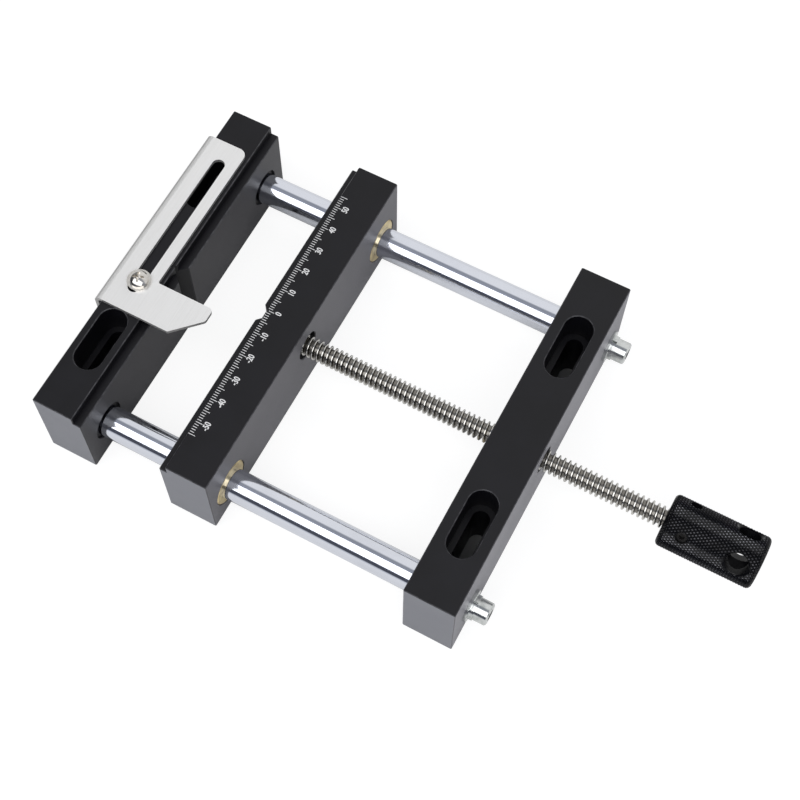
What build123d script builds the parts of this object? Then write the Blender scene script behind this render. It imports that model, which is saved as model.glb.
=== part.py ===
from build123d import *
from math import cos, radians, sin
import os

# An engraving vise, all lengths in millimetres. X runs along the lead screw from the
# fixed jaw to the knob, Y along the jaws, Z up. The origin lies on the table, under the
# middle of the fixed jaw.

# The three bars
bar_length = 140.0
bar_thickness = 19.5
bar_height = 38.0
bar_pitch = 148.0  # middle of the fixed jaw to middle of the rear block
edge_break = 0.3

# Work-holding edges
jaw_opening = 32.5
ledge_width = 3.0
ledge_drop = 4.0
vee_depth = 3.65
table_clearance = 1.5  # under the moving jaw
plate_clearance = 0.1  # between the moving jaw's top and the stop plate above it

# Mounting slots in the fixed jaw and the rear block
slot_inset = 31.8  # from a slot's middle to the end of its bar
slot_width = 6.6
slot_length = 22.0
slot_recess_width = 11.0
slot_recess_length = 26.5
slot_recess_depth = 14.0

# Guide rods and the bushes that run on them
rod_diameter = 12.0
rod_inset = 13.0  # from a rod's axis to the ends of the bars
rod_height = 15.4
rod_seat_depth = 10.0
rod_end_chamfer = 0.5
rod_mouth_margin = 1.5  # shallow recess round each rod, on the fixed jaw's face
rod_mouth_depth = 1.0
rod_tapping_depth = 16.0
bush_wall = 3.0
bush_chamfer = 0.5

# Cap screws and washers at the rods' ends
cap_screw_diameter = 5.0
cap_screw_length = 25.0
cap_head_diameter = 8.5
cap_head_height = 5.0
cap_head_chamfer = 0.5
cap_socket_width = 4.0
cap_socket_depth = 2.5
spring_washer_diameter = 9.4
spring_washer_thickness = 1.6
spring_washer_split = 0.8
flat_washer_diameter = 12.4
flat_washer_thickness = 1.2

# Lead screw
lead_diameter = 8.0
lead_height = 25.0
lead_length = 176.5
lead_end_chamfer = 0.8
journal_diameter = 6.0
journal_length = 10.4
journal_chamfer = 0.4
journal_groove_diameter = 4.5
journal_groove_width = 3.0
journal_groove_inset = 5.8  # shoulder to the middle of the groove

# Screw retention in the moving jaw
collar_recess_depth = 4.0
washer_diameter = 11.0
washer_thickness = 1.5
dog_grub_diameter = 4.0
dog_grub_length = 8.0
dog_diameter = 2.5
dog_length = 1.4

# Nut in the rear block
nut_body_diameter = 12.0
nut_body_length = 12.0
nut_flange_diameter = 16.0
nut_flange_thickness = 2.5
nut_exit_diameter = 10.2

# Knob
knob_diameter = 19.6
knob_length = 35.5
knob_rounding = 1.8
knob_grip = 21.0  # length of screw inside the knob
knob_bore_spare = 1.0
knob_turn = 47.0  # first pair of cross holes, from +Y towards +Z
tommy_diameter = 8.0
tommy_inset = 7.7
tommy_countersink = 1.3  # depth of the cone at each mouth, from the knob's full radius
knob_grub_diameter = 4.0
knob_grub_length = 4.0
knob_grub_inset = 7.7

# Hexagon sockets of all the grub screws
grub_socket_width = 2.0
grub_socket_depth = 2.0

# Stop plate
stop_thickness = 1.5
stop_length = 80.0
stop_shift = 15.0  # its middle, from the middle of the jaw
stop_width = 15.0  # from the jaw's back to the plate's front edge
stop_flange = 8.0
stop_bend_radius = 1.7  # inside the fold
stop_corner_radius = 3.2
nose_reach = 38.4  # from the jaw's back
nose_width = 15.5
nose_chamfer = 10.0
nose_tip_radius = 1.8
nose_root_radius = 0.8
stop_slot_width = 5.1
stop_slot_inset = 8.05  # its middle, from the jaw's back
stop_slot_margin = 7.8  # its ends to the plate's ends

# Pan-head screw that clamps the stop plate, and the washer under its head
pan_screw_inset = 8.5  # its axis, from the jaw's back
pan_screw_shift = -12.05  # from the middle of the jaw
pan_screw_diameter = 4.0
pan_screw_length = 10.0
stop_washer_diameter = 9.0
stop_washer_thickness = 0.8
pan_head_diameter = 7.0
pan_head_height = 2.6
pan_head_rim = 0.9
pan_recess_span = 4.4
pan_recess_width = 1.0
pan_recess_depth = 1.5
pan_recess_taper = 8.0
pan_recess_turn = 20.0
pan_hole_spare = 2.0

# Clearances, on the radius where the pieces are round
press_clearance = 0.01
seat_clearance = 0.02
running_clearance = 0.04
thread_clearance = 0.05
bolt_clearance = 0.25
sliding_gap = 0.1  # from the jaw's broken back edge out to the stop plate's bend
clamp_gap = 0.05  # under the stop plate's washer, with the clamp let off

# Places that follow from these sizes
fixed_back = -bar_thickness / 2
fixed_face = bar_thickness / 2
moving_face = fixed_face + jaw_opening
moving_back = moving_face + bar_thickness
rear_inner = bar_pitch - bar_thickness / 2
rear_outer = bar_pitch + bar_thickness / 2
ledge_level = bar_height - ledge_drop
moving_top = bar_height - plate_clearance

slot_offset = bar_length / 2 - slot_inset
rod_offset = bar_length / 2 - rod_inset
rod_start = fixed_face - rod_seat_depth
rod_end = rear_inner + rod_seat_depth
bush_radius = rod_diameter / 2 + bush_wall
washer_seat = moving_back - collar_recess_depth
lead_shoulder = washer_seat + washer_thickness
lead_start = lead_shoulder - journal_length
lead_end = lead_start + lead_length
groove_middle = lead_shoulder - journal_groove_inset
journal_bore_end = lead_start - bolt_clearance
nut_depth = nut_flange_thickness + nut_body_length
knob_inner = lead_end - knob_grip
knob_outer = knob_inner + knob_length
tommy_middle = knob_outer - tommy_inset
knob_grub_middle = knob_inner + knob_grub_inset
washer_stack = flat_washer_thickness + spring_washer_thickness

stop_low = stop_shift - stop_length / 2
stop_high = stop_low + stop_length
stop_front = fixed_back + stop_width
stop_slot_middle = fixed_back + stop_slot_inset
stop_slot_length = stop_length - 2 * stop_slot_margin
stop_screw_place = (fixed_back + pan_screw_inset, pan_screw_shift)
stop_washer_seat = bar_height + stop_thickness + clamp_gap
pan_seat = stop_washer_seat + stop_washer_thickness

rod_places = ((-rod_offset, rod_height), (rod_offset, rod_height))
lead_place = (0, lead_height)
lead_axis = Axis((0, 0, lead_height), (1, 0, 0))
cross_turns = (knob_turn, knob_turn + 90)
mouth_turns = (knob_turn, knob_turn + 90, knob_turn + 180, knob_turn + 270)


def circles_across_x(x, diameter, *places):
    """Circles at (y, z) places on a plane across X, facing +X."""
    with BuildSketch(Plane.YZ.offset(x)) as circles:
        with Locations(*places):
            Circle(diameter / 2)
    return circles.sketch


def fitted(diameter, clearance):
    """The bore round a shaft of a diameter, with a clearance all round."""
    return diameter + 2 * clearance


def bar_blank(low_x, bottom, top, ledge_side=0):
    """A bar along Y with its outer edges broken. A ledge_side of 1 or -1 steps its top
    edge on the +X or -X side down to the ledge."""
    step_x = low_x + bar_thickness if ledge_side > 0 else low_x
    with BuildPart() as blank:
        with BuildSketch(Plane.XZ):
            with Locations((low_x, bottom)):
                Rectangle(bar_thickness, top - bottom, align=Align.MIN)
            if ledge_side:
                with Locations((step_x, top)):
                    Rectangle(2 * ledge_width, 2 * (top - ledge_level), mode=Mode.SUBTRACT)
        extrude(amount=bar_length / 2, both=True)
        long_edges = blank.edges().filter_by(Axis.Y)
        if ledge_side:
            inner_corner = (step_x - ledge_side * ledge_width, 0, ledge_level)
            long_edges = long_edges.sort_by_distance(inner_corner)[1:]
        chamfer(long_edges, length=edge_break)
        ends = blank.faces().sort_by(Axis.Y)
        chamfer(ends[0].edges() + ends[-1].edges(), length=edge_break)
    return blank.part


def mounting_slots(middle_x):
    """What two counterbored slots take out of a bar."""
    places = ((middle_x, -slot_offset), (middle_x, slot_offset))
    with BuildPart() as slots:
        with BuildSketch(Plane.XY):
            with Locations(*places):
                SlotOverall(slot_length, slot_width, rotation=90)
        extrude(amount=bar_height)
        with BuildSketch(Plane.XY.offset(bar_height)):
            with Locations(*places):
                SlotOverall(slot_recess_length, slot_recess_width, rotation=90)
        extrude(amount=-slot_recess_depth)
    return slots.part


def vee_groove(face_x):
    """What a right-angled groove takes out of the middle of a jaw face."""
    side = vee_depth * 2**0.5
    with BuildPart() as groove:
        with BuildSketch(Plane.XY):
            with Locations((face_x, 0)):
                Rectangle(side, side, rotation=45)
        extrude(amount=bar_height)
    return groove.part


def hole_rims(face):
    """The edges of every hole in a face."""
    return ShapeList(edge for wire in face.inner_wires() for edge in wire.edges())


seat_bore = fitted(rod_diameter, seat_clearance)
cap_screw_hole = fitted(cap_screw_diameter, bolt_clearance)

fixed_blank = bar_blank(fixed_back, 0, bar_height, ledge_side=1)
fixed_slots = mounting_slots(-ledge_width / 2)
fixed_vee = vee_groove(fixed_face)
with BuildPart() as fixed_jaw:
    add(fixed_blank)
    add(fixed_slots, mode=Mode.SUBTRACT)
    with Locations((*stop_screw_place, bar_height)):
        tapping = fitted(pan_screw_diameter, thread_clearance)
        Hole(tapping / 2, depth=pan_screw_length + pan_hole_spare)
    chamfer(hole_rims(fixed_jaw.faces().sort_by(Axis.Z)[-1]), length=edge_break)
    add(fixed_vee, mode=Mode.SUBTRACT)
    extrude(
        circles_across_x(fixed_face, seat_bore, *rod_places),
        amount=-rod_seat_depth,
        mode=Mode.SUBTRACT,
    )
    extrude(
        circles_across_x(fixed_face, fitted(rod_diameter, rod_mouth_margin), *rod_places),
        amount=-rod_mouth_depth,
        mode=Mode.SUBTRACT,
    )
    extrude(
        circles_across_x(fixed_back, cap_screw_hole, *rod_places),
        amount=bar_thickness,
        mode=Mode.SUBTRACT,
    )

moving_blank = bar_blank(moving_face, table_clearance, moving_top, ledge_side=-1)
moving_vee = vee_groove(moving_face)
with BuildPart() as moving_jaw:
    add(moving_blank)
    extrude(
        circles_across_x(moving_face, fitted(2 * bush_radius, press_clearance), *rod_places),
        amount=bar_thickness,
        mode=Mode.SUBTRACT,
    )
    extrude(
        circles_across_x(moving_back, fitted(washer_diameter, bolt_clearance), lead_place),
        amount=-collar_recess_depth,
        mode=Mode.SUBTRACT,
    )
    chamfer(hole_rims(moving_jaw.faces().sort_by(Axis.X)[-1]), length=edge_break)
    extrude(
        circles_across_x(journal_bore_end, fitted(journal_diameter, running_clearance), lead_place),
        amount=washer_seat - journal_bore_end,
        mode=Mode.SUBTRACT,
    )
    with Locations((groove_middle, 0, lead_height)):
        tapping = fitted(dog_grub_diameter, thread_clearance)
        Cylinder(tapping / 2, lead_height, align=(Align.CENTER, Align.CENTER, Align.MAX), mode=Mode.SUBTRACT)
    add(moving_vee, mode=Mode.SUBTRACT)

rear_blank = bar_blank(rear_inner, 0, bar_height)
rear_slots = mounting_slots(bar_pitch)
with BuildPart() as rear_block:
    add(rear_blank)
    add(rear_slots, mode=Mode.SUBTRACT)
    chamfer(hole_rims(rear_block.faces().sort_by(Axis.Z)[-1]), length=edge_break)
    extrude(
        circles_across_x(rear_inner, seat_bore, *rod_places),
        amount=rod_seat_depth,
        mode=Mode.SUBTRACT,
    )
    extrude(
        circles_across_x(rear_inner, cap_screw_hole, *rod_places),
        amount=bar_thickness,
        mode=Mode.SUBTRACT,
    )
    extrude(
        circles_across_x(rear_inner, nut_exit_diameter, lead_place),
        amount=bar_thickness,
        mode=Mode.SUBTRACT,
    )
    chamfer(hole_rims(rear_block.faces().sort_by(Axis.X)[-1]), length=edge_break)
    extrude(
        circles_across_x(rear_inner, fitted(nut_body_diameter, press_clearance), lead_place),
        amount=nut_depth,
        mode=Mode.SUBTRACT,
    )
    extrude(
        circles_across_x(rear_inner, fitted(nut_flange_diameter, seat_clearance), lead_place),
        amount=nut_flange_thickness,
        mode=Mode.SUBTRACT,
    )

with BuildPart() as lead_nut:
    extrude(circles_across_x(rear_inner, nut_flange_diameter, lead_place), amount=nut_flange_thickness)
    extrude(circles_across_x(rear_inner, nut_body_diameter, lead_place), amount=nut_depth)
    extrude(
        circles_across_x(rear_inner, fitted(lead_diameter, thread_clearance), lead_place),
        amount=nut_depth,
        mode=Mode.SUBTRACT,
    )


def guide_rod(side):
    """A rod between the floors of its two seats, tapped at both ends."""
    place = (side * rod_offset, rod_height)
    tapping = fitted(cap_screw_diameter, thread_clearance)
    with BuildPart() as rod:
        extrude(circles_across_x(rod_start, rod_diameter, place), amount=rod_end - rod_start)
        chamfer(rod.edges().filter_by(GeomType.CIRCLE), length=rod_end_chamfer)
        for end, depth in ((rod_start, rod_tapping_depth), (rod_end, -rod_tapping_depth)):
            extrude(circles_across_x(end, tapping, place), amount=depth, mode=Mode.SUBTRACT)
    return rod


def jaw_bush(side):
    """A plain sleeve as long as the jaw is thick, its outer edges chamfered."""
    place = (side * rod_offset, rod_height)
    with BuildPart() as bush:
        extrude(circles_across_x(moving_face, 2 * bush_radius, place), amount=bar_thickness)
        chamfer(bush.edges().filter_by(GeomType.CIRCLE), length=bush_chamfer)
        extrude(
            circles_across_x(moving_face, fitted(rod_diameter, running_clearance), place),
            amount=bar_thickness,
            mode=Mode.SUBTRACT,
        )
    return bush


guide_rod_left = guide_rod(-1)
guide_rod_right = guide_rod(1)
jaw_bush_left = jaw_bush(-1)
jaw_bush_right = jaw_bush(1)


def outer_face(x, outward):
    """A plane across X, its normal outward along +X or -X and its own Y upward."""
    return Plane(origin=(x, 0, 0), x_dir=(0, outward, 0), z_dir=(outward, 0, 0))


def washer_pair(seat, outer_diameter, thickness, split=0.0):
    """Two rings standing on a plane. A split leaves a gap of that width at their tops."""
    with BuildPart() as rings:
        with BuildSketch(seat):
            with Locations(*rod_places):
                Circle(outer_diameter / 2)
                Circle(cap_screw_hole / 2, mode=Mode.SUBTRACT)
                if split:
                    upward = (Align.CENTER, Align.MIN)
                    Rectangle(split, outer_diameter, align=upward, mode=Mode.SUBTRACT)
        extrude(amount=thickness)
    return rings


def cap_screw_pair(seat):
    """Two socket-head cap screws, their heads standing on the plane."""
    with BuildPart() as screws:
        with BuildSketch(seat):
            with Locations(*rod_places):
                Circle(cap_head_diameter / 2)
        extrude(amount=cap_head_height)
        top_rims = screws.edges().sort_by(Axis(seat.origin, seat.z_dir))[-2:]
        chamfer(top_rims, length=cap_head_chamfer)
        with BuildSketch(seat):
            with Locations(*rod_places):
                Circle(cap_screw_diameter / 2)
        extrude(amount=-cap_screw_length)
        with BuildSketch(seat.offset(cap_head_height)):
            with Locations(*rod_places):
                RegularPolygon(cap_socket_width / 2, 6, major_radius=False)
        extrude(amount=-cap_socket_depth, mode=Mode.SUBTRACT)
    return screws


def spring_washer_pair(seat):
    """The split rings between the flat washers and the screw heads."""
    top = seat.offset(flat_washer_thickness)
    return washer_pair(top, spring_washer_diameter, spring_washer_thickness, spring_washer_split)


front_seat = outer_face(fixed_back, -1)
front_flat_washers = washer_pair(front_seat, flat_washer_diameter, flat_washer_thickness)
front_spring_washers = spring_washer_pair(front_seat)
front_cap_screws = cap_screw_pair(front_seat.offset(washer_stack))
rear_seat = outer_face(rear_outer, 1)
rear_flat_washers = washer_pair(rear_seat, flat_washer_diameter, flat_washer_thickness)
rear_spring_washers = spring_washer_pair(rear_seat)
rear_cap_screws = cap_screw_pair(rear_seat.offset(washer_stack))

with BuildPart() as lead_screw:
    # Half of its lengthwise section, from the journal's end to the end inside the knob
    journal_top = lead_height + journal_diameter / 2
    groove_floor = lead_height + journal_groove_diameter / 2
    groove_start = groove_middle - journal_groove_width / 2
    groove_end = groove_middle + journal_groove_width / 2
    lead_top = lead_height + lead_diameter / 2
    with BuildSketch(Plane.XZ):
        with BuildLine():
            Polyline(
                (lead_start, lead_height),
                (lead_start, journal_top - journal_chamfer),
                (lead_start + journal_chamfer, journal_top),
                (groove_start, journal_top),
                (groove_start, groove_floor),
                (groove_end, groove_floor),
                (groove_end, journal_top),
                (lead_shoulder, journal_top),
                (lead_shoulder, lead_top),
                (lead_end - lead_end_chamfer, lead_top),
                (lead_end, lead_top - lead_end_chamfer),
                (lead_end, lead_height),
                close=True,
            )
        make_face()
    revolve(axis=lead_axis)

with BuildPart() as thrust_washer:
    extrude(circles_across_x(washer_seat, washer_diameter, lead_place), amount=washer_thickness)
    extrude(
        circles_across_x(washer_seat, fitted(journal_diameter, running_clearance), lead_place),
        amount=washer_thickness,
        mode=Mode.SUBTRACT,
    )

with BuildPart() as screw_retaining_grub:
    # Stands under the journal with its dog in the groove
    dog_top = lead_height - journal_groove_diameter / 2 - thread_clearance
    grub_top = dog_top - dog_length
    grub_bottom = dog_top - dog_grub_length
    with BuildSketch(Plane.XY.offset(grub_bottom)):
        with Locations((groove_middle, 0)):
            Circle(dog_grub_diameter / 2)
    extrude(amount=grub_top - grub_bottom)
    with BuildSketch(Plane.XY.offset(grub_top)):
        with Locations((groove_middle, 0)):
            Circle(dog_diameter / 2)
    extrude(amount=dog_length)
    with BuildSketch(Plane.XY.offset(grub_bottom)):
        with Locations((groove_middle, 0)):
            RegularPolygon(grub_socket_width / 2, 6, major_radius=False)
    extrude(amount=grub_socket_depth, mode=Mode.SUBTRACT)


def cross_plane(middle_x, turn, height=0.0):
    """A plane square to a radius of the knob, at a height over the axis."""
    outward = Vector(0, cos(radians(turn)), sin(radians(turn)))
    origin = Vector(middle_x, 0, lead_height) + outward * height
    return Plane(origin=origin, x_dir=(1, 0, 0), z_dir=outward)


with BuildPart() as knob:
    extrude(circles_across_x(knob_inner, knob_diameter, lead_place), amount=knob_length)
    fillet(knob.edges().filter_by(GeomType.CIRCLE), radius=knob_rounding)
    for turn in cross_turns:
        with BuildSketch(cross_plane(tommy_middle, turn)):
            Circle(tommy_diameter / 2)
        extrude(amount=knob_diameter, both=True, mode=Mode.SUBTRACT)
    for turn in mouth_turns:
        with Locations(cross_plane(tommy_middle, turn, knob_diameter / 2 - tommy_countersink)):
            Cone(
                tommy_diameter / 2,
                tommy_diameter / 2 + tommy_countersink,
                tommy_countersink,
                align=(Align.CENTER, Align.CENTER, Align.MIN),
                mode=Mode.SUBTRACT,
            )
    extrude(
        circles_across_x(knob_inner, fitted(lead_diameter, seat_clearance), lead_place),
        amount=knob_grip + knob_bore_spare,
        mode=Mode.SUBTRACT,
    )
    for turn in cross_turns:
        with BuildSketch(cross_plane(knob_grub_middle, turn)):
            Circle(knob_grub_diameter / 2 + thread_clearance)
        extrude(amount=knob_diameter, mode=Mode.SUBTRACT)

with BuildPart() as knob_grub_screws:
    grub_foot = lead_diameter / 2
    grub_head = grub_foot + knob_grub_length
    for turn in cross_turns:
        with BuildSketch(cross_plane(knob_grub_middle, turn, grub_foot)):
            Circle(knob_grub_diameter / 2)
        extrude(amount=knob_grub_length)
        with BuildSketch(cross_plane(knob_grub_middle, turn, grub_head)):
            RegularPolygon(grub_socket_width / 2, 6, major_radius=False)
        extrude(amount=-grub_socket_depth, mode=Mode.SUBTRACT)

with BuildPart() as stop_plate:
    # The flat part, with its hooked nose over the jaw opening
    nose_tip = fixed_back + nose_reach
    with BuildSketch(Plane.XY.offset(bar_height)):
        with Locations((fixed_back, stop_low)):
            Rectangle(stop_width, stop_length, align=Align.MIN)
            Rectangle(nose_reach, nose_width, align=Align.MIN)
        fillet(vertices().sort_by_distance((stop_front, stop_high))[0], radius=stop_corner_radius)
        fillet(vertices().sort_by_distance((stop_front, stop_low + nose_width))[0], radius=nose_root_radius)
        chamfer(vertices().sort_by_distance((nose_tip, stop_low))[0], length=nose_chamfer)
        fillet(vertices().sort_by(Axis.X)[-2:], radius=nose_tip_radius)
        with Locations((stop_slot_middle, stop_shift)):
            SlotOverall(stop_slot_length, stop_slot_width, rotation=90, mode=Mode.SUBTRACT)
    extrude(amount=stop_thickness)
    # The bend and the flange down the jaw's back
    plate_top = bar_height + stop_thickness
    bend_start = fixed_back + edge_break - sliding_gap
    flange_inside = bend_start - stop_bend_radius
    flange_outside = flange_inside - stop_thickness
    with BuildSketch(Plane.XZ.offset(-stop_high)):
        with Locations((flange_outside, plate_top)):
            corner = (Align.MIN, Align.MAX)
            Rectangle(stop_thickness, stop_thickness + stop_flange, align=corner)
            Rectangle(2 * stop_thickness + stop_bend_radius, stop_thickness, align=corner)
        outside_corner = vertices().sort_by_distance((flange_outside, plate_top))[0]
        fillet(outside_corner, radius=stop_bend_radius + stop_thickness)
        inside_corner = vertices().sort_by_distance((flange_inside, bar_height))[0]
        fillet(inside_corner, radius=stop_bend_radius)
    extrude(amount=stop_length)

with BuildPart() as stop_washer:
    with BuildSketch(Plane.XY.offset(stop_washer_seat)):
        with Locations(stop_screw_place):
            Circle(stop_washer_diameter / 2)
            Circle(fitted(pan_screw_diameter, bolt_clearance) / 2, mode=Mode.SUBTRACT)
    extrude(amount=stop_washer_thickness)

with BuildPart() as stop_screw:
    with Locations((*stop_screw_place, pan_seat)):
        below = (Align.CENTER, Align.CENTER, Align.MAX)
        Cylinder(pan_screw_diameter / 2, pan_screw_length, align=below)
    # Half of the domed head's section, turned round the screw's axis
    head_plane = Plane(origin=(*stop_screw_place, pan_seat), x_dir=(1, 0, 0), z_dir=(0, -1, 0))
    with BuildSketch(head_plane):
        with BuildLine():
            head_radius = pan_head_diameter / 2
            dome_height = pan_head_height - pan_head_rim
            dome_radius = (head_radius**2 + dome_height**2) / (2 * dome_height)
            Polyline((0, pan_head_height), (0, 0), (head_radius, 0), (head_radius, pan_head_rim))
            RadiusArc((0, pan_head_height), (head_radius, pan_head_rim), dome_radius)
        make_face()
    revolve(axis=Axis((*stop_screw_place, 0), (0, 0, 1)))
    with BuildSketch(Plane.XY.offset(pan_seat + pan_head_height)):
        with Locations(stop_screw_place):
            for turn in (pan_recess_turn, pan_recess_turn + 90):
                Rectangle(pan_recess_span, pan_recess_width, rotation=turn)
    extrude(amount=-pan_recess_depth, taper=pan_recess_taper, mode=Mode.SUBTRACT)

pieces = {
    "fixed_jaw": fixed_jaw,
    "moving_jaw": moving_jaw,
    "rear_block": rear_block,
    "lead_nut": lead_nut,
    "guide_rod_left": guide_rod_left,
    "guide_rod_right": guide_rod_right,
    "jaw_bush_left": jaw_bush_left,
    "jaw_bush_right": jaw_bush_right,
    "front_flat_washers": front_flat_washers,
    "front_spring_washers": front_spring_washers,
    "front_cap_screws": front_cap_screws,
    "rear_flat_washers": rear_flat_washers,
    "rear_spring_washers": rear_spring_washers,
    "rear_cap_screws": rear_cap_screws,
    "lead_screw": lead_screw,
    "thrust_washer": thrust_washer,
    "screw_retaining_grub": screw_retaining_grub,
    "knob": knob,
    "knob_grub_screws": knob_grub_screws,
    "stop_plate": stop_plate,
    "stop_washer": stop_washer,
    "stop_screw": stop_screw,
}

os.makedirs("parts", exist_ok=True)
for name, piece in pieces.items():
    piece.part.label = name
    export_step(piece.part, f"parts/{name}.step")
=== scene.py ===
import math

import bmesh
import bpy
import numpy as np
from mathutils import Matrix, Vector


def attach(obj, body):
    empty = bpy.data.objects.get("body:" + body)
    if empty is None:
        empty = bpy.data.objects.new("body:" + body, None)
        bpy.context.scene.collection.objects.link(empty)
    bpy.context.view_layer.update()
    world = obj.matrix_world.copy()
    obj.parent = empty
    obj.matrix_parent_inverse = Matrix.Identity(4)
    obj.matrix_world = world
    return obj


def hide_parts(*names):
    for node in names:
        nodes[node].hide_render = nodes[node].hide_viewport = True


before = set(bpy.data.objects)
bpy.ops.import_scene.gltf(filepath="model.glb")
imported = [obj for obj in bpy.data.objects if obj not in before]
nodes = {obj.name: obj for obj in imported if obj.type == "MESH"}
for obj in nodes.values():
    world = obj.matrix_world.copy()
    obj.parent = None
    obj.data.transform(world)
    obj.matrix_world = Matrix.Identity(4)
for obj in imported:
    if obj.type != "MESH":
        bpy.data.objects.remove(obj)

bpy.context.view_layer.update()
print("frame loaded:", len(nodes), "nodes")


# shader wiring: one class for sockets, one for the tree they are in
class Signal:
    # one output socket, on which Python's own operators add Math nodes
    def __init__(self, finish, socket):
        self.finish = finish
        self.socket = socket

    def math(self, operation, *others):
        values = dict(enumerate((self,) + others))
        return self.finish.add("ShaderNodeMath", {"operation": operation}, values)

    def __add__(self, other):
        return self.math("ADD", other)

    def __radd__(self, other):
        return self.math("ADD", other)

    def __sub__(self, other):
        return self.math("SUBTRACT", other)

    def __rsub__(self, other):
        return self.finish.add("ShaderNodeMath", {"operation": "SUBTRACT"}, {0: other, 1: self})

    def __mul__(self, other):
        return self.math("MULTIPLY", other)

    def __rmul__(self, other):
        return self.math("MULTIPLY", other)

    def __truediv__(self, other):
        return self.math("DIVIDE", other)

    def __pow__(self, other):
        return self.math("POWER", other)

    def __abs__(self):
        return self.math("ABSOLUTE")

    def atLeast(self, other):
        return self.math("MAXIMUM", other)

    def clamped(self):
        return self.math("MINIMUM", 1.0).math("MAXIMUM", 0.0)

    def between(self, low, high):
        # 0 below low, 1 above high, a smooth step in between
        inputs = {"Value": self, "From Min": low, "From Max": high}
        return self.finish.add("ShaderNodeMapRange", {"interpolation_type": "SMOOTHSTEP"}, inputs)

    def withLeast(self, least):
        # from least to 1 where this goes from 0 to 1
        return least + (1.0 - least) * self

    def distanceTo(self, places):
        # how far it is from the nearest of some values
        nearest = abs(self - places[0])
        for place in places[1:]:
            nearest = nearest.math("MINIMUM", abs(self - place))
        return nearest


class Finish:
    # a node tree that is filled by one add method
    def __init__(self, tree):
        self.tree = tree
        tree.nodes.clear()

    def add(self, kind, settings=None, inputs=None, out=0):
        # a node of that type: settings first, then values or links; the chosen output comes back,
        # or a list of outputs where out is a list
        node = self.tree.nodes.new(kind)
        for key, value in (settings or {}).items():
            if key == "stops":
                self.setStops(node.color_ramp, value)
            else:
                setattr(node, key, value)
        for key, value in (inputs or {}).items():
            if isinstance(value, Signal):
                self.tree.links.new(value.socket, node.inputs[key])
            else:
                node.inputs[key].default_value = value
        if isinstance(out, list):
            return [Signal(self, node.outputs[name]) for name in out]
        return Signal(self, node.outputs[out]) if len(node.outputs) else node

    def setStops(self, ramp, stops):
        # a colour ramp from (place, colour) pairs
        while len(ramp.elements) < len(stops):
            ramp.elements.new(1.0)
        for element, (place, colour) in zip(ramp.elements, stops):
            element.position = place
            element.color = (*colour, 1.0)

    def blend(self, factor, first, second):
        # a colour between two colours; a Mix node's colours are its inputs 6 and 7 and its output 2
        ends = [value if isinstance(value, Signal) else (*value, 1.0) for value in (first, second)]
        inputs = {0: factor, 6: ends[0], 7: ends[1]}
        return self.add("ShaderNodeMix", {"data_type": "RGBA"}, inputs, 2)

    def parts(self, vector):
        # the three parts of a vector
        return self.add("ShaderNodeSeparateXYZ", {}, {0: vector}, [0, 1, 2])

    def radiusFrom(self, axisHeight):
        # distance from the line along X at that height
        along, side, up = self.parts(self.place)
        lift = up - axisHeight
        return (side * side + lift * lift) ** 0.5

    def noise(self, scale, detail=2.0, rough=0.5):
        # noise over the piece; a tuple of three scales stretches it along the axes with small ones
        place = self.place
        if isinstance(scale, tuple):
            place = self.add("ShaderNodeVectorMath", {"operation": "MULTIPLY"}, {0: place, 1: scale})
            scale = 1.0
        inputs = {"Vector": place, "Scale": scale, "Detail": detail, "Roughness": rough}
        return self.add("ShaderNodeTexNoise", {}, inputs)

    def bump(self, height, strength, depth, below=None):
        # a normal tilted by a height signal, depth in metres
        inputs = {"Height": height, "Strength": strength, "Distance": depth}
        if below is not None:
            inputs["Normal"] = below
        return self.add("ShaderNodeBump", {}, inputs)


def newFinish(name):
    # an empty material, its object coordinates and its surface normal
    material = bpy.data.materials.new(name)
    material.use_nodes = True
    finish = Finish(material.node_tree)
    finish.material = material
    finish.place = finish.add("ShaderNodeTexCoord", {}, {}, "Object")
    finish.normal = finish.add("ShaderNodeNewGeometry", {}, {}, "Normal")
    return finish


def closeFinish(finish, sockets, changed=None, where=None):
    # the surface shader with its sockets, joined to the material's output; where a mask says,
    # a second surface with some of them changed
    surface = finish.add("ShaderNodeBsdfPrincipled", {}, sockets)
    if changed:
        second = finish.add("ShaderNodeBsdfPrincipled", {}, {**sockets, **changed})
        surface = finish.add("ShaderNodeMixShader", {}, {0: where, 1: surface, 2: second})
    finish.add("ShaderNodeOutputMaterial", {}, {0: surface})
    finish.material.diffuse_color = (0.4, 0.4, 0.4, 1.0)  # a plain grey in the viewport
    return finish.material


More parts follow.
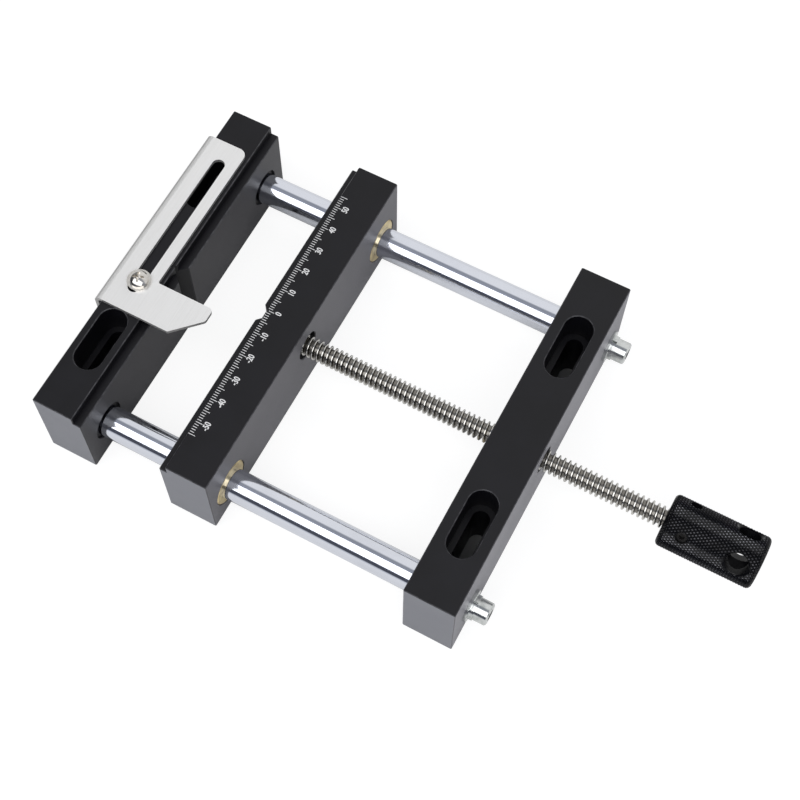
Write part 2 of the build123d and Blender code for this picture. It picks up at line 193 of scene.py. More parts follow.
# in the finishes, places, radii and depths are metres and scales are per metre; a pair of numbers is
# where a mask begins and where it is full
anodised = {
    "dark": (0.0018, 0.0016, 0.0032),
    "light": (0.0038, 0.0036, 0.0062),
    "edge": (0.075, 0.075, 0.082),
    # painted light: both end faces of each bar are painted paler, standing in for the light the front
    # ends catch
    "endLight": (0.200, 0.205, 0.230),
    "endLightRange": (0.0693, 0.0696),  # from the bar's middle
    "endOn": (0.90, 0.995),  # the normal's part along the bar
    "roughness": 0.45,
    "index": 1.45,
    "cloudScale": 60.0,
    "cloudRange": (0.3, 0.7),
    "cloudRoughness": 0.10,
    "flat": (0.80, 0.97),  # the normal's largest part, from a rounded edge to a face
    "upward": (0.2, 0.5),  # its upward part, from where edges aren't rubbed to where they are
    "wearScale": 420.0,
    "wearRange": (0.35, 0.7),
    "leastWear": 0.35,
    "drawScales": (3600.0, 26.0, 3600.0),
    "drawLines": 0.10,
    "drawDepth": 0.00004,
    "grainScale": 4200.0,
    "grainRoughness": 0.14,
    "grain": 0.22,
    "grainDepth": 0.00003,
    # dust haze and painted sheen on the bars' broad outer sides; the fixed jaw keeps less of it, as
    # painted shade
    "dustAndSheen": 0.42,
    "dustSheenRoughness": 0.4,
    "dustSheenTint": (0.94, 0.925, 1.0),
    "sheenSideRange": (0.0093, 0.0095),  # from a bar's middle plane
    "barMiddles": (0.0, 0.052, 0.148),
    "fixedJawShadeShare": 0.45,
    "fixedJawShadeEdge": (0.02, 0.03),
}


def makeAnodised(name, values):
    # extruded bar, blasted and dyed black: fine grain, faint draw lines along the bar, edges rubbed
    # lighter, end faces painted paler as painted light, and on the broad outer sides a sheen, partly
    # dust haze and partly painted sheen, kept out of the slots and holes and less on the fixed jaw as
    # painted shade
    finish = newFinish(name)
    cloud = finish.noise(values["cloudScale"], detail=3.0, rough=0.6)
    wear = finish.noise(values["wearScale"], detail=3.0)
    drawn = finish.noise(values["drawScales"], detail=3.0, rough=0.65)
    grain = finish.noise(values["grainScale"], rough=0.6)
    x, y, z = finish.parts(finish.place)
    across, along, up = [abs(part) for part in finish.parts(finish.normal)]
    rounded = 1.0 - across.atLeast(along).atLeast(up).between(*values["flat"])
    patchy = wear.between(*values["wearRange"]).withLeast(values["leastWear"])
    rubbed = rounded * patchy * up.between(*values["upward"])
    # painted light: a mask over the bars' end faces, where they are painted paler
    endLight = abs(y).between(*values["endLightRange"]) * along.between(*values["endOn"])
    colour = finish.blend(cloud.between(*values["cloudRange"]), values["dark"], values["light"])
    colour = finish.blend(endLight, colour, values["endLight"])
    colour = finish.blend(rubbed, colour, values["edge"])
    roughness = values["roughness"] + (cloud - 0.5) * values["cloudRoughness"]
    roughness = roughness + (grain - 0.5) * values["grainRoughness"]
    tilt = finish.bump(drawn, values["drawLines"], values["drawDepth"])
    tilt = finish.bump(grain, values["grain"], values["grainDepth"], tilt)
    plainPart = {"Base Color": colour, "Roughness": roughness, "IOR": values["index"], "Normal": tilt}
    hazeAndSheen = {
        "Sheen Weight": values["dustAndSheen"], "Sheen Roughness": values["dustSheenRoughness"],
        "Sheen Tint": (*values["dustSheenTint"], 1.0),
    }
    # painted sheen only on the broad outer sides, none in the slots and holes where shade falls, and
    # less on the fixed jaw, whose side the moving jaw shades: painted shade
    outer = x.distanceTo(values["barMiddles"]).between(*values["sheenSideRange"])
    sheenShare = abs(x).between(*values["fixedJawShadeEdge"]).withLeast(values["fixedJawShadeShare"])
    return closeFinish(finish, plainPart, hazeAndSheen, sheenShare * outer)


knobBlack = {
    "dark": (0.0020, 0.0020, 0.0030),
    "light": (0.0045, 0.0045, 0.0060),
    "worn": (0.20, 0.20, 0.22),
    "axisHeight": 0.025,
    "wornRadius": (0.00966, 0.009688),  # the knurl's points lie at 0.0098
    "wornRange": (0.40, 0.65),
    "leastWorn": 0.35,
    "boreRadius": (0.0088, 0.0090),  # what lies inside it is the wall of a hole
    "roughness": 0.12,
    "patchRoughness": 0.10,
    "boreRoughness": 0.45,
    "index": 1.28,
    "patchScale": 150.0,
    "patchRange": (0.3, 0.7),
    "unevenScale": 1100.0,
    "uneven": 0.45,
    "unevenDepth": 0.0001,
}


def makeKnobBlack(name, values):
    # dyed black over the knurl, worn to bare metal in patches near its points, so that these glint
    finish = newFinish(name)
    radius = finish.radiusFrom(values["axisHeight"])
    patch = finish.noise(values["patchScale"], detail=3.0, rough=0.6)
    crest = radius.between(*values["wornRadius"])
    bare = crest * patch.between(*values["wornRange"]).withLeast(values["leastWorn"])
    inside = 1.0 - radius.between(*values["boreRadius"])
    colour = finish.blend(patch.between(*values["patchRange"]), values["dark"], values["light"])
    colour = finish.blend(bare, colour, values["worn"])
    roughness = values["roughness"] + patch * values["patchRoughness"]
    roughness = roughness + inside * (values["boreRoughness"] - values["roughness"])
    dents = finish.noise(values["unevenScale"])
    return closeFinish(finish, {
        "Base Color": colour, "Metallic": crest, "Roughness": roughness, "IOR": values["index"],
        "Normal": finish.bump(dents, values["uneven"], values["unevenDepth"]),
    })


chrome = {
    "colour": (0.77, 0.795, 0.865),
    "dull": (0.66, 0.68, 0.74),
    "roughness": 0.07,
    "hazeScale": 75.0,
    "hazeRange": (0.45, 0.8),
    "hazeShare": 0.5,
    "hazeRoughness": 0.05,
    "smearScales": (60.0, 400.0, 400.0),
    "smearRange": (0.5, 0.8),
    "smearRoughness": 0.04,
    "ringScales": (5200.0, 90.0, 90.0),
    "ringRoughness": 0.05,
    "grinding": 0.05,
    "grindingDepth": 0.00002,
}


def makeChrome(name, values):
    # centreless-ground and hard-chromed: hair-fine rings round the rod, a little handling haze
    finish = newFinish(name)
    rings = finish.noise(values["ringScales"], detail=3.0, rough=0.7)
    haze = finish.noise(values["hazeScale"], detail=4.0, rough=0.6)
    smear = finish.noise(values["smearScales"])
    hazy = haze.between(*values["hazeRange"]) * values["hazeShare"]
    colour = finish.blend(hazy, values["colour"], values["dull"])
    roughness = values["roughness"] + haze * values["hazeRoughness"]
    roughness = roughness + smear.between(*values["smearRange"]) * values["smearRoughness"]
    roughness = roughness + (rings - 0.5) * values["ringRoughness"]
    return closeFinish(finish, {
        "Base Color": colour, "Metallic": 1.0, "Roughness": roughness,
        "Normal": finish.bump(rings, values["grinding"], values["grindingDepth"]),
    })


rolled = {
    "crest": (0.66, 0.645, 0.61),
    # painted shade: the colour of the thread's roots
    "shadedRoot": (0.23, 0.218, 0.198),
    "axisHeight": 0.025,
    "rootRadius": 0.0032,
    "crestRadius": 0.00388,
    "roughness": 0.18,
    "rootRoughness": 0.10,
    "spotScale": 700.0,
    "spotBase": 0.75,
    "spotShare": 0.5,
    "spotRoughness": 0.10,
    "spots": 0.10,
    "spotDepth": 0.00004,
    "streakScales": (9000.0, 900.0, 900.0),
    "streaks": 0.12,
    "streakDepth": 0.00002,
}


def makeRolledSteel(name, values):
    # bright rolled thread, its roots painted darker as painted shade in the grooves
    finish = newFinish(name)
    # painted shade: a mask from the dark roots to the bright crests
    plainPart = finish.radiusFrom(values["axisHeight"]).between(values["rootRadius"], values["crestRadius"])
    spots = finish.noise(values["spotScale"], detail=4.0, rough=0.65)
    streaks = finish.noise(values["streakScales"])
    bright = plainPart * (values["spotBase"] + values["spotShare"] * spots)
    colour = finish.blend(bright.clamped(), values["shadedRoot"], values["crest"])
    roughness = values["roughness"] + (1.0 - plainPart) * values["rootRoughness"]
    roughness = roughness + (spots - 0.5) * values["spotRoughness"]
    tilt = finish.bump(streaks, values["streaks"], values["streakDepth"])
    tilt = finish.bump(spots, values["spots"], values["spotDepth"], tilt)
    return closeFinish(finish, {
        "Base Color": colour, "Metallic": 1.0, "Roughness": roughness, "Normal": tilt,
    })


brass = {
    "bright": (0.80, 0.67, 0.37),
    "dull": (0.52, 0.41, 0.22),
    "roughness": 0.34,
    "patchScale": 260.0,
    "patchRange": (0.35, 0.75),
    "patchRoughness": 0.2,
    "ringScales": (900.0, 2600.0, 2600.0),
    "ringRoughness": 0.1,
    "rings": 0.18,
    "ringDepth": 0.00003,
}


def makeBrass(name, values):
    # turned brass with facing rings, gone dull in patches
    finish = newFinish(name)
    patches = finish.noise(values["patchScale"], detail=4.0, rough=0.6)
    rings = finish.noise(values["ringScales"])
    colour = finish.blend(patches.between(*values["patchRange"]), values["bright"], values["dull"])
    roughness = values["roughness"] + (patches - 0.5) * values["patchRoughness"]
    roughness = roughness + (rings - 0.5) * values["ringRoughness"]
    return closeFinish(finish, {
        "Base Color": colour, "Metallic": 1.0, "Roughness": roughness,
        "Normal": finish.bump(rings, values["rings"], values["ringDepth"]),
    })


# what the coatings on small steel parts share
coating = {
    "cloudScale": 330.0,
    "cloudRange": (0.4, 0.8),
    "cloudRoughness": 0.12,
    "peelScale": 1500.0,
    "peel": 0.12,
    "peelDepth": 0.00004,
}
zinc = {**coating, "bright": (0.70, 0.72, 0.71), "cloudy": (0.46, 0.48, 0.47), "roughness": 0.10}
nickel = {**coating, "bright": (0.78, 0.755, 0.715), "cloudy": (0.60, 0.575, 0.54), "roughness": 0.12}
oxide = {**coating, "bright": (0.060, 0.058, 0.056), "cloudy": (0.025, 0.025, 0.026), "roughness": 0.32}


def makeCoated(name, values):
    # coated steel: soft cloudy patches, a slight orange-peel surface
    finish = newFinish(name)
    clouds = finish.noise(values["cloudScale"], detail=4.0, rough=0.6)
    peel = finish.noise(values["peelScale"])
    colour = finish.blend(clouds.between(*values["cloudRange"]), values["bright"], values["cloudy"])
    roughness = values["roughness"] + clouds * values["cloudRoughness"]
    return closeFinish(finish, {
        "Base Color": colour, "Metallic": 1.0, "Roughness": roughness,
        "Normal": finish.bump(peel, values["peel"], values["peelDepth"]),
    })


stainless = {
    "bright": (0.99, 0.985, 0.97),
    "line": (0.91, 0.90, 0.88),
    "edge": (0.30, 0.295, 0.29),
    "edgeAndShadeShare": 0.85,
    # below this range a normal counts as a cut edge, which also takes in the middle of the bend and the
    # flange's inner side, painted darker as painted shade
    "faceOn": (0.75, 0.95),  # the normal's part out of the sheet, from a cut edge to a face
    "metal": 0.44,
    "roughness": 0.35,
    "softScales": (240.0, 30.0, 240.0),
    "softRoughness": 0.12,
    "lineScales": (5200.0, 70.0, 5200.0),
    "lineRange": (0.35, 0.8),
    "lineRoughness": 0.22,
    "brush": 0.16,
    "brushDepth": 0.00003,
}


def makeStainless(name, values):
    # sheet brushed along its length, its cut edges a darker grey; the same mask also paints the middle
    # of the bend and the flange's inner side darker, as painted shade
    finish = newFinish(name)
    lines = finish.noise(values["lineScales"], detail=4.0, rough=0.7)
    soft = finish.noise(values["softScales"], detail=3.0)
    across, along, up = finish.parts(finish.normal)
    # cut edges, plus painted shade on the middle of the bend and the flange's inner side
    cut = 1.0 - abs(up).atLeast(across * -1.0).between(*values["faceOn"])
    colour = finish.blend(lines.between(*values["lineRange"]), values["bright"], values["line"])
    colour = finish.blend(cut * values["edgeAndShadeShare"], colour, values["edge"])
    roughness = values["roughness"] + (lines - 0.5) * values["lineRoughness"]
    roughness = roughness + (soft - 0.5) * values["softRoughness"]
    return closeFinish(finish, {
        "Base Color": colour, "Metallic": values["metal"], "Roughness": roughness,
        "Normal": finish.bump(lines, values["brush"], values["brushDepth"]),
    })


printed = {
    "white": (0.84, 0.84, 0.84),
    "thin": (0.60, 0.60, 0.61),
    "roughness": 0.55,
    "thinScale": 1400.0,
    "thinRange": (0.5, 0.85),
    "thinRoughness": 0.2,
    "grain": 0.15,
    "grainDepth": 0.00002,
}


def makePrint(name, values):
    # pad-printed white ink, thinner in places
    finish = newFinish(name)
    thin = finish.noise(values["thinScale"], detail=3.0, rough=0.6)
    colour = finish.blend(thin.between(*values["thinRange"]), values["white"], values["thin"])
    roughness = values["roughness"] + (thin - 0.5) * values["thinRoughness"]
    return closeFinish(finish, {
        "Base Color": colour, "Roughness": roughness,
        "Normal": finish.bump(thin, values["grain"], values["grainDepth"]),
    })


blackBar = makeAnodised("blackAnodisedBar", anodised)
blackKnob = makeKnobBlack("blackKnurledKnob", knobBlack)
chromedRod = makeChrome("chromedRod", chrome)
rolledSteel = makeRolledSteel("rolledSteel", rolled)
paleBrass = makeBrass("paleBrass", brass)
zincPlate = makeCoated("zincPlate", zinc)
nickelPlate = makeCoated("nickelPlate", nickel)
blackOxide = makeCoated("blackOxide", oxide)
brushedPlate = makeStainless("brushedStainless", stainless)
whitePrint = makePrint("whitePrint", printed)
print("finishes made")


# shapes are worked out in millimetres, each shell a pair of points and faces
def gridQuads(rows, columns, wrapColumns=False):
    # the four corners of every cell of a grid of rows by columns, counted row by row
    lastColumn = columns if wrapColumns else columns - 1
    row, column = np.meshgrid(np.arange(rows - 1), np.arange(lastColumn), indexing="ij")
    right = (column + 1) % columns
    corners = [
        row * columns + column, row * columns + right,
        (row + 1) * columns + right, (row + 1) * columns + column,
    ]
    return np.stack(corners, axis=-1).reshape(-1, 4)


def turnedShell(profile, columns, height=0.0):
    # each (x, radius) row of the profile swung round the X axis at a height, as rings of points
    angle = np.arange(columns) * 2 * math.pi / columns
    x, radius = np.asarray(profile, float).T[:, :, None]
    points = [x + 0 * angle, radius * np.cos(angle), height + radius * np.sin(angle)]
    return np.stack(points, axis=-1).reshape(-1, 3), gridQuads(len(profile), columns, True)


def joinShells(name, shells):
    # one mesh in metres: all the points in a row, each shell's faces counted on from the ones before
    points = np.concatenate([shellPoints for shellPoints, shellFaces in shells]) / 1000
    starts = np.cumsum([0] + [len(shellPoints) for shellPoints, shellFaces in shells])
    faces = []
    for start, (shellPoints, shellFaces) in zip(starts, shells):
        faces += [(np.asarray(face) + start).tolist() for face in shellFaces]
    mesh = bpy.data.meshes.new(name)
    mesh.from_pydata(points.tolist(), [], faces)
    return mesh


def smoothFaces(mesh, sharpAngle):
    # smooth shading, broken where faces meet at more than that angle
    mesh.polygons.foreach_set("use_smooth", np.ones(len(mesh.polygons), bool))
    mesh.set_sharp_from_angle(angle=math.radians(sharpAngle))


def makeMesh(name, shells, sharpAngle=30):
    # shells joined, points less than two microns apart merged, smooth faces with sharp creases
    mesh = joinShells(name, shells)
    weld = bmesh.new()
    weld.from_mesh(mesh)
    bmesh.ops.remove_doubles(weld, verts=weld.verts, dist=0.000002)
    weld.to_mesh(mesh)
    weld.free()
    smoothFaces(mesh, sharpAngle)
    return mesh


def makePiece(name, mesh, material, body):
    # an object at the origin that rides on its body
    piece = bpy.data.objects.new(name, mesh)
    bpy.context.scene.collection.objects.link(piece)
    mesh.materials.clear()
    mesh.materials.append(material)
    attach(piece, body)
    return piece


leadScrew = {
    "height": 25.0,
    "radius": 4.0,
    "journal": [  # (x, radius), the end in the moving jaw with its groove
        (48.85, 0), (48.85, 2.6), (49.25, 3), (51.95, 3), (51.95, 2.25),
        (54.95, 2.25), (54.95, 3), (59.25, 3), (59.25, 4),
    ],
    "threadStart": 60.2,
    "threadEnd": 207.35,
    "tail": [(224.55, 4), (225.35, 3.2), (225.35, 0)],  # the end in the knob
    "pitch": 2.0,
    # one pitch of the thread: places along it and the radius at each
    "places": [0.03, 0.05, 0.09, 0.165, 0.335, 0.505, 0.58, 0.62, 0.64, 0.87, 0.93, 1.74, 1.80],
    "radii": [3.84, 3.90, 3.95, 3.985, 4, 3.985, 3.95, 3.90, 3.84, 2.95, 2.80, 2.80, 2.95],
    "runOut": 1.0,
    "columns": 40,
}


def threadShell(values):
    # x = place in the pitch + pitch per turn * angle, radius = the thread's profile,
    # eased to the full radius at both ends
    pitch, full = values["pitch"], values["radius"]
    first, last = values["threadStart"], values["threadEnd"]
    # two spare turns at each end, which the clip folds onto the end rings
    turns = np.arange(math.floor(first / pitch) - 2, math.ceil(last / pitch) + 2)
    place = (turns[:, None] * pitch + np.array(values["places"])[None, :]).ravel()
    profile = np.tile(values["radii"], len(turns))
    angle = np.linspace(0, 2 * math.pi, values["columns"] + 1)
    x = np.clip(place[:, None] + pitch * angle[None, :] / (2 * math.pi), first, last)
    ease = np.clip(np.minimum(x - first, last - x) / values["runOut"], 0, 1)
    ease = ease * ease * (3 - 2 * ease)
    radius = full - (full - profile[:, None]) * ease
    points = np.stack([x, radius * np.cos(angle), values["height"] + radius * np.sin(angle)], axis=-1)
    return points.reshape(-1, 3), gridQuads(len(place), len(angle))


def makeLeadScrew(values):
    # the journal, the thread and the tail, merged where their full-radius rings meet
    height, columns, radius = values["height"], values["columns"], values["radius"]
    start = turnedShell(values["journal"] + [(values["threadStart"], radius)], columns, height)
    end = turnedShell([(values["threadEnd"], radius)] + values["tail"], columns, height)
    mesh = makeMesh("lead_screw_thread", [start, threadShell(values), end])
    return makePiece("lead_screw_thread", mesh, rolledSteel, "screw")


screwPiece = makeLeadScrew(leadScrew)
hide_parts("lead_screw")
print("lead screw:", len(screwPiece.data.polygons), "faces")


knob = {
    "height": 25.0,
    "inner": 204.35,
    "outer": 239.85,
    "radius": 9.8,
    "rounding": 1.8,
    "roundingAngles": [0, 18, 36, 54, 72],
    "roundingFade": [0, 0, 0.25, 0.55, 0.85],  # share of the knurl's depth at each of those angles
    "diamondsRound": 52,
    "rowsAlong": 32,
    "knurlDepth": 0.36,
    "creaseAngle": 20,
    "turn": 47.0,
    "crossPlace": 232.15,
    "crossRadius": 4.0,
    "coneStart": 8.5,
    "coneDepth": 2.5,
    "grubPlace": 212.05,
    "grubRadius": 2.05,
    "grubMouth": 9.4,
    "grubFlare": 1.0,
    "boreRadius": 4.02,
    "boreDepth": 22.0,
    "overshoot": 1.0,
    "cutterColumns": 48,
}


def knurledShell(values):
    # rings along X: a quarter-round corner, then grid points that are by turns a point at the full
    # radius and a crossing of two grooves, then the other corner; each cell is split along its groove
    columns = 2 * values["diamondsRound"]
    inner, outer, height = values["inner"], values["outer"], values["height"]
    rounding, radius = values["rounding"], values["radius"]
    swing = np.radians(values["roundingAngles"])
    cornerX = rounding - rounding * np.cos(swing)
    cornerRadius = radius - rounding + rounding * np.sin(swing)
    cornerFade = np.array(values["roundingFade"])
    grip = inner + rounding + np.linspace(0, outer - inner - 2 * rounding, values["rowsAlong"] + 1)
    x = np.concatenate([inner + cornerX, grip, outer - cornerX[::-1]])
    outline = np.concatenate([cornerRadius, np.full(len(grip), radius), cornerRadius[::-1]])
    fade = np.concatenate([cornerFade, np.ones(len(grip)), cornerFade[::-1]])
    row, column = np.meshgrid(np.arange(len(x)), np.arange(columns), indexing="ij")
    crossing = (row + column) % 2 == 0
    ring = outline[:, None] - crossing * values["knurlDepth"] * fade[:, None]
    angle = column * 2 * math.pi / columns
    surface = [x[:, None] + 0 * angle, ring * np.cos(angle), height + ring * np.sin(angle)]
    middles = [[inner, 0, height], [outer, 0, height]]
    points = np.concatenate([np.stack(surface, axis=-1).reshape(-1, 3), middles])
    quads = gridQuads(len(x), columns, True)
    even = crossing.reshape(-1)[quads[:, 0]]
    first, second = quads[even], quads[~even]
    around = np.arange(columns)
    onward = (around + 1) % columns
    last, middle = (len(x) - 1) * columns, len(x) * columns
    innerEnd = np.stack([np.full(columns, middle), onward, around], axis=-1)
    outerEnd = np.stack([np.full(columns, middle + 1), last + around, last + onward], axis=-1)
    return points, np.concatenate([
        first[:, [0, 1, 2]], first[:, [0, 2, 3]], second[:, [0, 1, 3]], second[:, [1, 2, 3]],
        innerEnd, outerEnd,
    ])


def crossCutter(values, place, turn, profile):
    # a profile of (distance, radius) turned about a line through the knob's axis at that angle
    points, faces = turnedShell(profile, values["cutterColumns"])
    tilt = math.radians(turn)
    outward = np.array([0, math.cos(tilt), math.sin(tilt)])
    sideways = np.array([0, -math.sin(tilt), math.cos(tilt)])
    along = np.array([1.0, 0, 0])
    turned = points[:, :1] * outward + points[:, 1:2] * sideways + points[:, 2:] * along
    return turned + np.array([place, 0, values["height"]]), faces


def cutAway(mesh, cutters):
    # the mesh less each cutter in turn, by the exact solver
    body = bpy.data.objects.new("knobBlank", mesh)
    bpy.context.scene.collection.objects.link(body)
    helpers = []
    for number, shell in enumerate(cutters):
        name = "cutter%d" % number
        tool = bpy.data.objects.new(name, makeMesh(name, [shell]))
        bpy.context.scene.collection.objects.link(tool)
        helpers.append(tool)
        cut = body.modifiers.new("cut%d" % number, "BOOLEAN")
        cut.operation, cut.solver, cut.object = "DIFFERENCE", "EXACT", tool
    bpy.context.view_layer.update()
    shaped = body.evaluated_get(bpy.context.evaluated_depsgraph_get())
    result = bpy.data.meshes.new_from_object(shaped)
    for helper in helpers + [body]:
        bpy.data.objects.remove(helper)
    return result


def makeKnob(values):
    # the knurled bar less two crossed holes with coned mouths, two grub holes and the screw's bore
    cross, coneStart = values["crossRadius"], values["coneStart"]
    coneEnd, coneRadius = coneStart + values["coneDepth"], cross + values["coneDepth"]
    crossHole = [
        (-coneEnd, 0), (-coneEnd, coneRadius), (-coneStart, cross),
        (coneStart, cross), (coneEnd, coneRadius), (coneEnd, 0),
    ]
    grub, mouth, flare = values["grubRadius"], values["grubMouth"], values["grubFlare"]
    grubHole = [(0, 0), (0, grub), (mouth, grub), (mouth + flare, grub + flare), (mouth + flare, 0)]
    bore, boreStart = values["boreRadius"], values["inner"] - values["overshoot"]
    boreEnd = values["inner"] + values["boreDepth"]
    boreHole = [(boreStart, 0), (boreStart, bore), (boreEnd, bore), (boreEnd, 0)]
    turns = (values["turn"], values["turn"] + 90)
    cutters = [crossCutter(values, values["crossPlace"], turn, crossHole) for turn in turns]
    cutters += [crossCutter(values, values["grubPlace"], turn, grubHole) for turn in turns]
    cutters.append(turnedShell(boreHole, values["cutterColumns"], values["height"]))
    mesh = cutAway(makeMesh("knobBlank", [knurledShell(values)]), cutters)
    mesh.name = "knurled_knob"
    smoothFaces(mesh, values["creaseAngle"])
    return makePiece("knurled_knob", mesh, blackKnob, "screw")


knobPiece = makeKnob(knob)
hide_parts("knob")
print("knob:", len(knobPiece.data.polygons), "faces")


scale = {
    "top": 37.9,
    "ink": 0.012,
    "reach": 55,
    "shift": 0.2,
    "width": 0.23,
    "start": 45.62,
    "middleStart": 46.15,
    "shortEnd": 47.3,
    "longEnd": 48.3,
    "longEvery": 5,
    "lastLabel": 50,
    "labelEvery": 10,
    "digitHeight": 2.45,
    "digitWidth": 1.22,
    "digitFoot": 51.05,
    "digitShift": 0.7,
    "weight": 0.022,
}


def barShells(values):
    # one flat bar of ink for every millimetre, longer on the fives
    number = np.arange(-values["reach"], values["reach"] + 1)
    near = np.where(number == 0, values["middleStart"], values["start"])
    far = np.where(number % values["longEvery"] == 0, values["longEnd"], values["shortEnd"])
    side = (number + values["shift"])[:, None]
    x = np.stack([near, far, far, near] * 2, axis=-1)
    y = side + values["width"] / 2 * np.array([-1, -1, 1, 1, -1, -1, 1, 1])
    z = values["top"] + values["ink"] * np.array([-1, -1, -1, -1, 1, 1, 1, 1]) + 0 * x
    box = [[3, 2, 1, 0], [4, 5, 6, 7], [0, 1, 5, 4], [1, 2, 6, 5], [2, 3, 7, 6], [3, 0, 4, 7]]
    faces = (np.array(box)[None, :, :] + 8 * np.arange(len(number))[:, None, None]).reshape(-1, 4)
    return np.stack([x, y, z], axis=-1).reshape(-1, 3), faces


def textShell(text, values):
    # the text as a thin closed mesh, one unit high before it is placed
    words = bpy.data.curves.new("scaleText", "FONT")
    words.body, words.size, words.extrude, words.offset = text, 1.0, 0.5, values["weight"]
    holder = bpy.data.objects.new("scaleText", words)
    bpy.context.scene.collection.objects.link(holder)
    bpy.context.view_layer.update()
    shaped = holder.evaluated_get(bpy.context.evaluated_depsgraph_get())
    mesh = bpy.data.meshes.new_from_object(shaped)
    points = np.empty(len(mesh.vertices) * 3)
    mesh.vertices.foreach_get("co", points)
    faces = [list(face.vertices) for face in mesh.polygons]
    bpy.data.objects.remove(holder)
    bpy.data.meshes.remove(mesh)
    return points.reshape(-1, 3), faces


def labelShells(values):
    # every tenth number set along +Y, its foot towards +X, its digits centred beside its tick
    sample = textShell("0", values)[0]
    wide = values["digitWidth"] / np.ptp(sample[:, 0])
    high = values["digitHeight"] / np.ptp(sample[:, 1])
    base = sample[:, 1].min()
    shells = []
    for number in range(-values["lastLabel"], values["lastLabel"] + 1, values["labelEvery"]):
        points, faces = textShell(str(number), values)
        digits = textShell(str(abs(number)), values)[0]
        centre = points[:, 0].max() - np.ptp(digits[:, 0]) / 2
        x = values["digitFoot"] - (points[:, 1] - base) * high
        y = number + values["digitShift"] + (points[:, 0] - centre) * wide
        z = values["top"] + values["ink"] * np.sign(points[:, 2])
        shells.append((np.stack([x, y, z], axis=-1), faces))
    return shells


def makeScale(values):
    # all the marks as one mesh, half their thickness above the jaw's top
    mesh = joinShells("scale_marks", [barShells(values)] + labelShells(values))
    return makePiece("scale_marks", mesh, whitePrint, "jaw")


scalePiece = makeScale(scale)
print("scale:", len(scalePiece.data.polygons), "faces")


# finishes of the carried-over nodes; a node that isn't named here is zinc plated
nodeFinish = {
    "fixed_jaw": blackBar, "moving_jaw": blackBar, "rear_block": blackBar,
    "knob": blackKnob,
    "guide_rod_left": chromedRod, "guide_rod_right": chromedRod,
    "lead_screw": rolledSteel, "screw_retaining_grub": rolledSteel,
    "jaw_bush_left": paleBrass, "jaw_bush_right": paleBrass, "lead_nut": paleBrass,
    "stop_plate": brushedPlate, "knob_grub_screws": blackOxide,
    "stop_screw": nickelPlate, "stop_washer": nickelPlate,
}
for nodeName, node in nodes.items():
    for materialSlot in node.material_slots:
        materialSlot.material = nodeFinish.get(nodeName, zincPlate)
print("node finishes set")


studioFloor = {
    "reach": 4.0,
    "height": -0.0002,
    "colour": (0.86, 0.86, 0.87),
    "glow": 0.83,
    "shine": 0.55,
    "dim": 0.28,
    "shelter": 0.12,
    "openSky": (0.28, 0.45),
    "barMiddles": (0.0, 0.148),
    # painted shadow: the floor under the fixed jaw and the rear block gets no glow
    "shadowFootprint": (0.0095, 0.069),  # a little less than half a bar's thickness and half its length
}


def makeFloor(values):
    # a plain pale plane that the camera sees near white, less the object's shadow and a painted shadow
    # over the two fixed bars' footprints, and that metal sees a little darker, most so where the object
    # hides the sky from it
    reach, height = values["reach"], values["height"]
    corners = [(-reach, -reach), (reach, -reach), (reach, reach), (-reach, reach)]
    mesh = bpy.data.meshes.new("studioFloor")
    mesh.from_pydata([(x, y, height) for x, y in corners], [], [(0, 1, 2, 3)])
    floor = bpy.data.objects.new("studioFloor", mesh)
    bpy.context.scene.collection.objects.link(floor)
    finish = newFinish("studioFloor")
    x, y, z = finish.parts(finish.place)
    # painted shadow: no glow over the two fixed bars' footprints, so the floor seen through their slots
    # is dark
    halfThick, halfLong = values["shadowFootprint"]
    outsidePaintedShadow = x.distanceTo(values["barMiddles"]).math("GREATER_THAN", halfThick)
    outsidePaintedShadow = outsidePaintedShadow.atLeast(abs(y).math("GREATER_THAN", halfLong))
    shelter = {"Distance": values["shelter"]}
    sky = finish.add("ShaderNodeAmbientOcclusion", {"samples": 8}, shelter, "AO")
    openness = sky.between(*values["openSky"])
    pale = finish.add("ShaderNodeBsdfDiffuse", {}, {"Color": (*values["colour"], 1.0)})
    dim = finish.add("ShaderNodeBsdfDiffuse", {}, {"Color": [values["dim"]] * 3 + [1.0]})
    glow = finish.add("ShaderNodeEmission", {}, {"Strength": outsidePaintedShadow * values["glow"]})
    shine = finish.add("ShaderNodeEmission", {}, {"Strength": openness * values["shine"]})
    kinds = ["Is Camera Ray", "Is Glossy Ray", "Is Transmission Ray"]
    camera, glossy, through = finish.add("ShaderNodeLightPath", {}, {}, kinds)
    mirrored = finish.add("ShaderNodeAddShader", {}, {0: shine, 1: dim})
    seen = finish.add("ShaderNodeAddShader", {}, {0: glow, 1: dim})
    mixed = finish.add("ShaderNodeMixShader", {}, {0: glossy, 1: pale, 2: mirrored})
    mixed = finish.add("ShaderNodeMixShader", {}, {0: camera.atLeast(through), 1: mixed, 2: seen})
    finish.add("ShaderNodeOutputMaterial", {}, {0: mixed})
    mesh.materials.append(finish.material)


softbox = {
    "centre": (0.11, 0.0, 0.02),
    "distance": 1.6,
    "length": 3.4,
    "elevation": 56.8,
    "spread": 22.8,  # half its angle as the object sees it
    "radiance": 1.9,
}


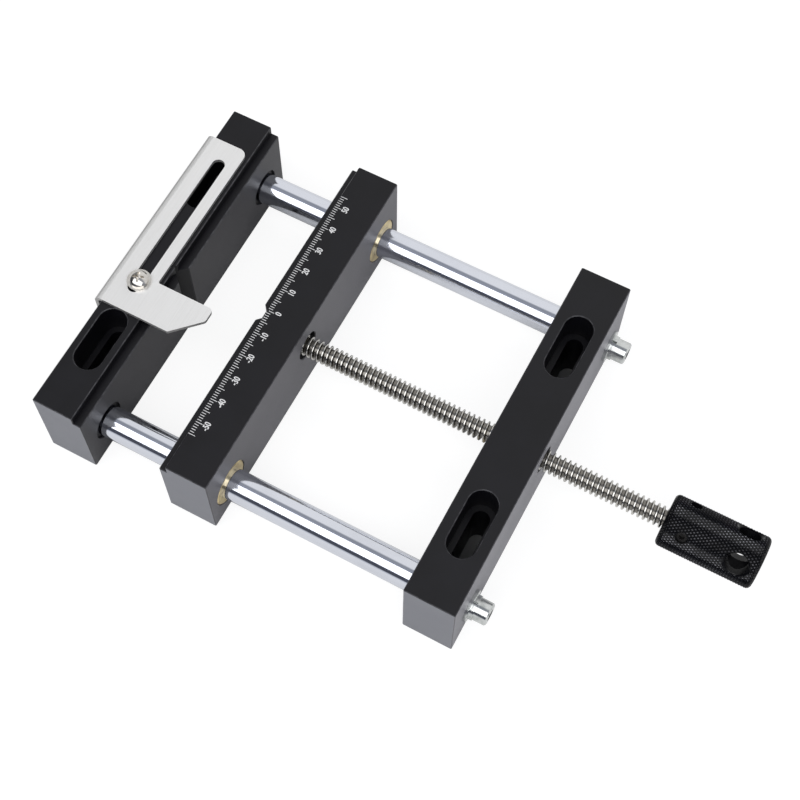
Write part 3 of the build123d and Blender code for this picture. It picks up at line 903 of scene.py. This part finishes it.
def makeSoftbox(values):
    # a long lamp along X, over the front, whose face shows the given radiance:
    # power = pi * area * radiance
    lamp = bpy.data.lights.new("frontSoftbox", "AREA")
    lamp.shape, lamp.size = "RECTANGLE", values["length"]
    lamp.size_y = 2 * values["distance"] * math.tan(math.radians(values["spread"]))
    lamp.energy = math.pi * lamp.size * lamp.size_y * values["radiance"]
    elevation = math.radians(values["elevation"])
    outward = Vector((0, -math.cos(elevation), math.sin(elevation)))
    holder = bpy.data.objects.new("frontSoftbox", lamp)
    holder.location = Vector(values["centre"]) + outward * values["distance"]
    holder.rotation_euler = outward.to_track_quat("Z", "Y").to_euler()
    holder.visible_camera = False
    bpy.context.scene.collection.objects.link(holder)


studioRoom = {
    # (angle in half turns from front to back, colour)
    "stops": [
        (0.0, (0.75, 0.76, 0.78)), (0.035, (0.60, 0.62, 0.66)),
        (0.065, (0.07, 0.075, 0.095)), (0.17, (0.07, 0.075, 0.095)),
        (0.45, (0.32, 0.335, 0.38)), (0.575, (0.30, 0.315, 0.35)),
        (0.625, (0.86, 0.86, 0.865)), (1.0, (0.86, 0.86, 0.86)),
    ],
    "sideDim": 0.75,
    "sideFrom": (0.30, 0.62),
}


def makeWorld(values):
    # the room round the lamp by the angle in the YZ plane, front to back: the floor's edge, a dark wall
    # under the lamp, a grey-blue ceiling, then the white backdrop down to the floor; dimmer towards -X
    world = bpy.data.worlds.new("studioRoom")
    world.use_nodes = True
    room = Finish(world.node_tree)
    across, along, up = room.parts(room.add("ShaderNodeTexCoord", {}, {}, "Generated"))
    angle = up.math("ARCTAN2", along * -1.0) / math.pi
    walls = room.add("ShaderNodeValToRGB", {"stops": values["stops"]}, {0: angle})
    shade = 1.0 - values["sideDim"] * (across * -1.0).between(*values["sideFrom"])
    walls = room.blend(shade, (0.0, 0.0, 0.0), walls)
    kinds = ["Is Camera Ray", "Is Transmission Ray"]
    camera, through = room.add("ShaderNodeLightPath", {}, {}, kinds)
    colour = room.blend(camera.atLeast(through), walls, (1.0, 1.0, 1.0))
    background = room.add("ShaderNodeBackground", {}, {0: colour})
    room.add("ShaderNodeOutputWorld", {}, {0: background})
    bpy.context.scene.world = world


view = {
    "place": (0.2103144, -0.2146266, 0.5311498),
    "right": (0.87884554, 0.47696259, -0.01171302),
    "down": (0.42483189, -0.79349139, -0.43576288),
    "forward": (-0.21713677, 0.3779922, -0.89998529),
    "focal": 1550.07,  # this and the next two in pixels
    "middle": (368.53, 380.76),
    "frame": 800.0,
    "sensor": 36.0,
    "clipStart": 0.01,
}


def makeCamera(values):
    # the photograph's own view: columns right, up and back, focal length and middle in its pixels
    lens = bpy.data.cameras.new("photoView")
    lens.sensor_width = values["sensor"]
    lens.lens = values["focal"] * values["sensor"] / values["frame"]
    lens.shift_x = 0.5 - values["middle"][0] / values["frame"]
    lens.shift_y = values["middle"][1] / values["frame"] - 0.5
    lens.clip_start = values["clipStart"]
    camera = bpy.data.objects.new("photoView", lens)
    up, back = [-part for part in values["down"]], [-part for part in values["forward"]]
    turned = Matrix((values["right"], up, back)).transposed()
    camera.matrix_world = Matrix.Translation(values["place"]) @ turned.to_4x4()
    bpy.context.scene.collection.objects.link(camera)
    bpy.context.scene.camera = camera


makeFloor(studioFloor)
makeSoftbox(softbox)
makeWorld(studioRoom)
makeCamera(view)
bpy.context.scene.view_settings.view_transform = "Standard"
print("studio set")

bpy.context.view_layer.update()
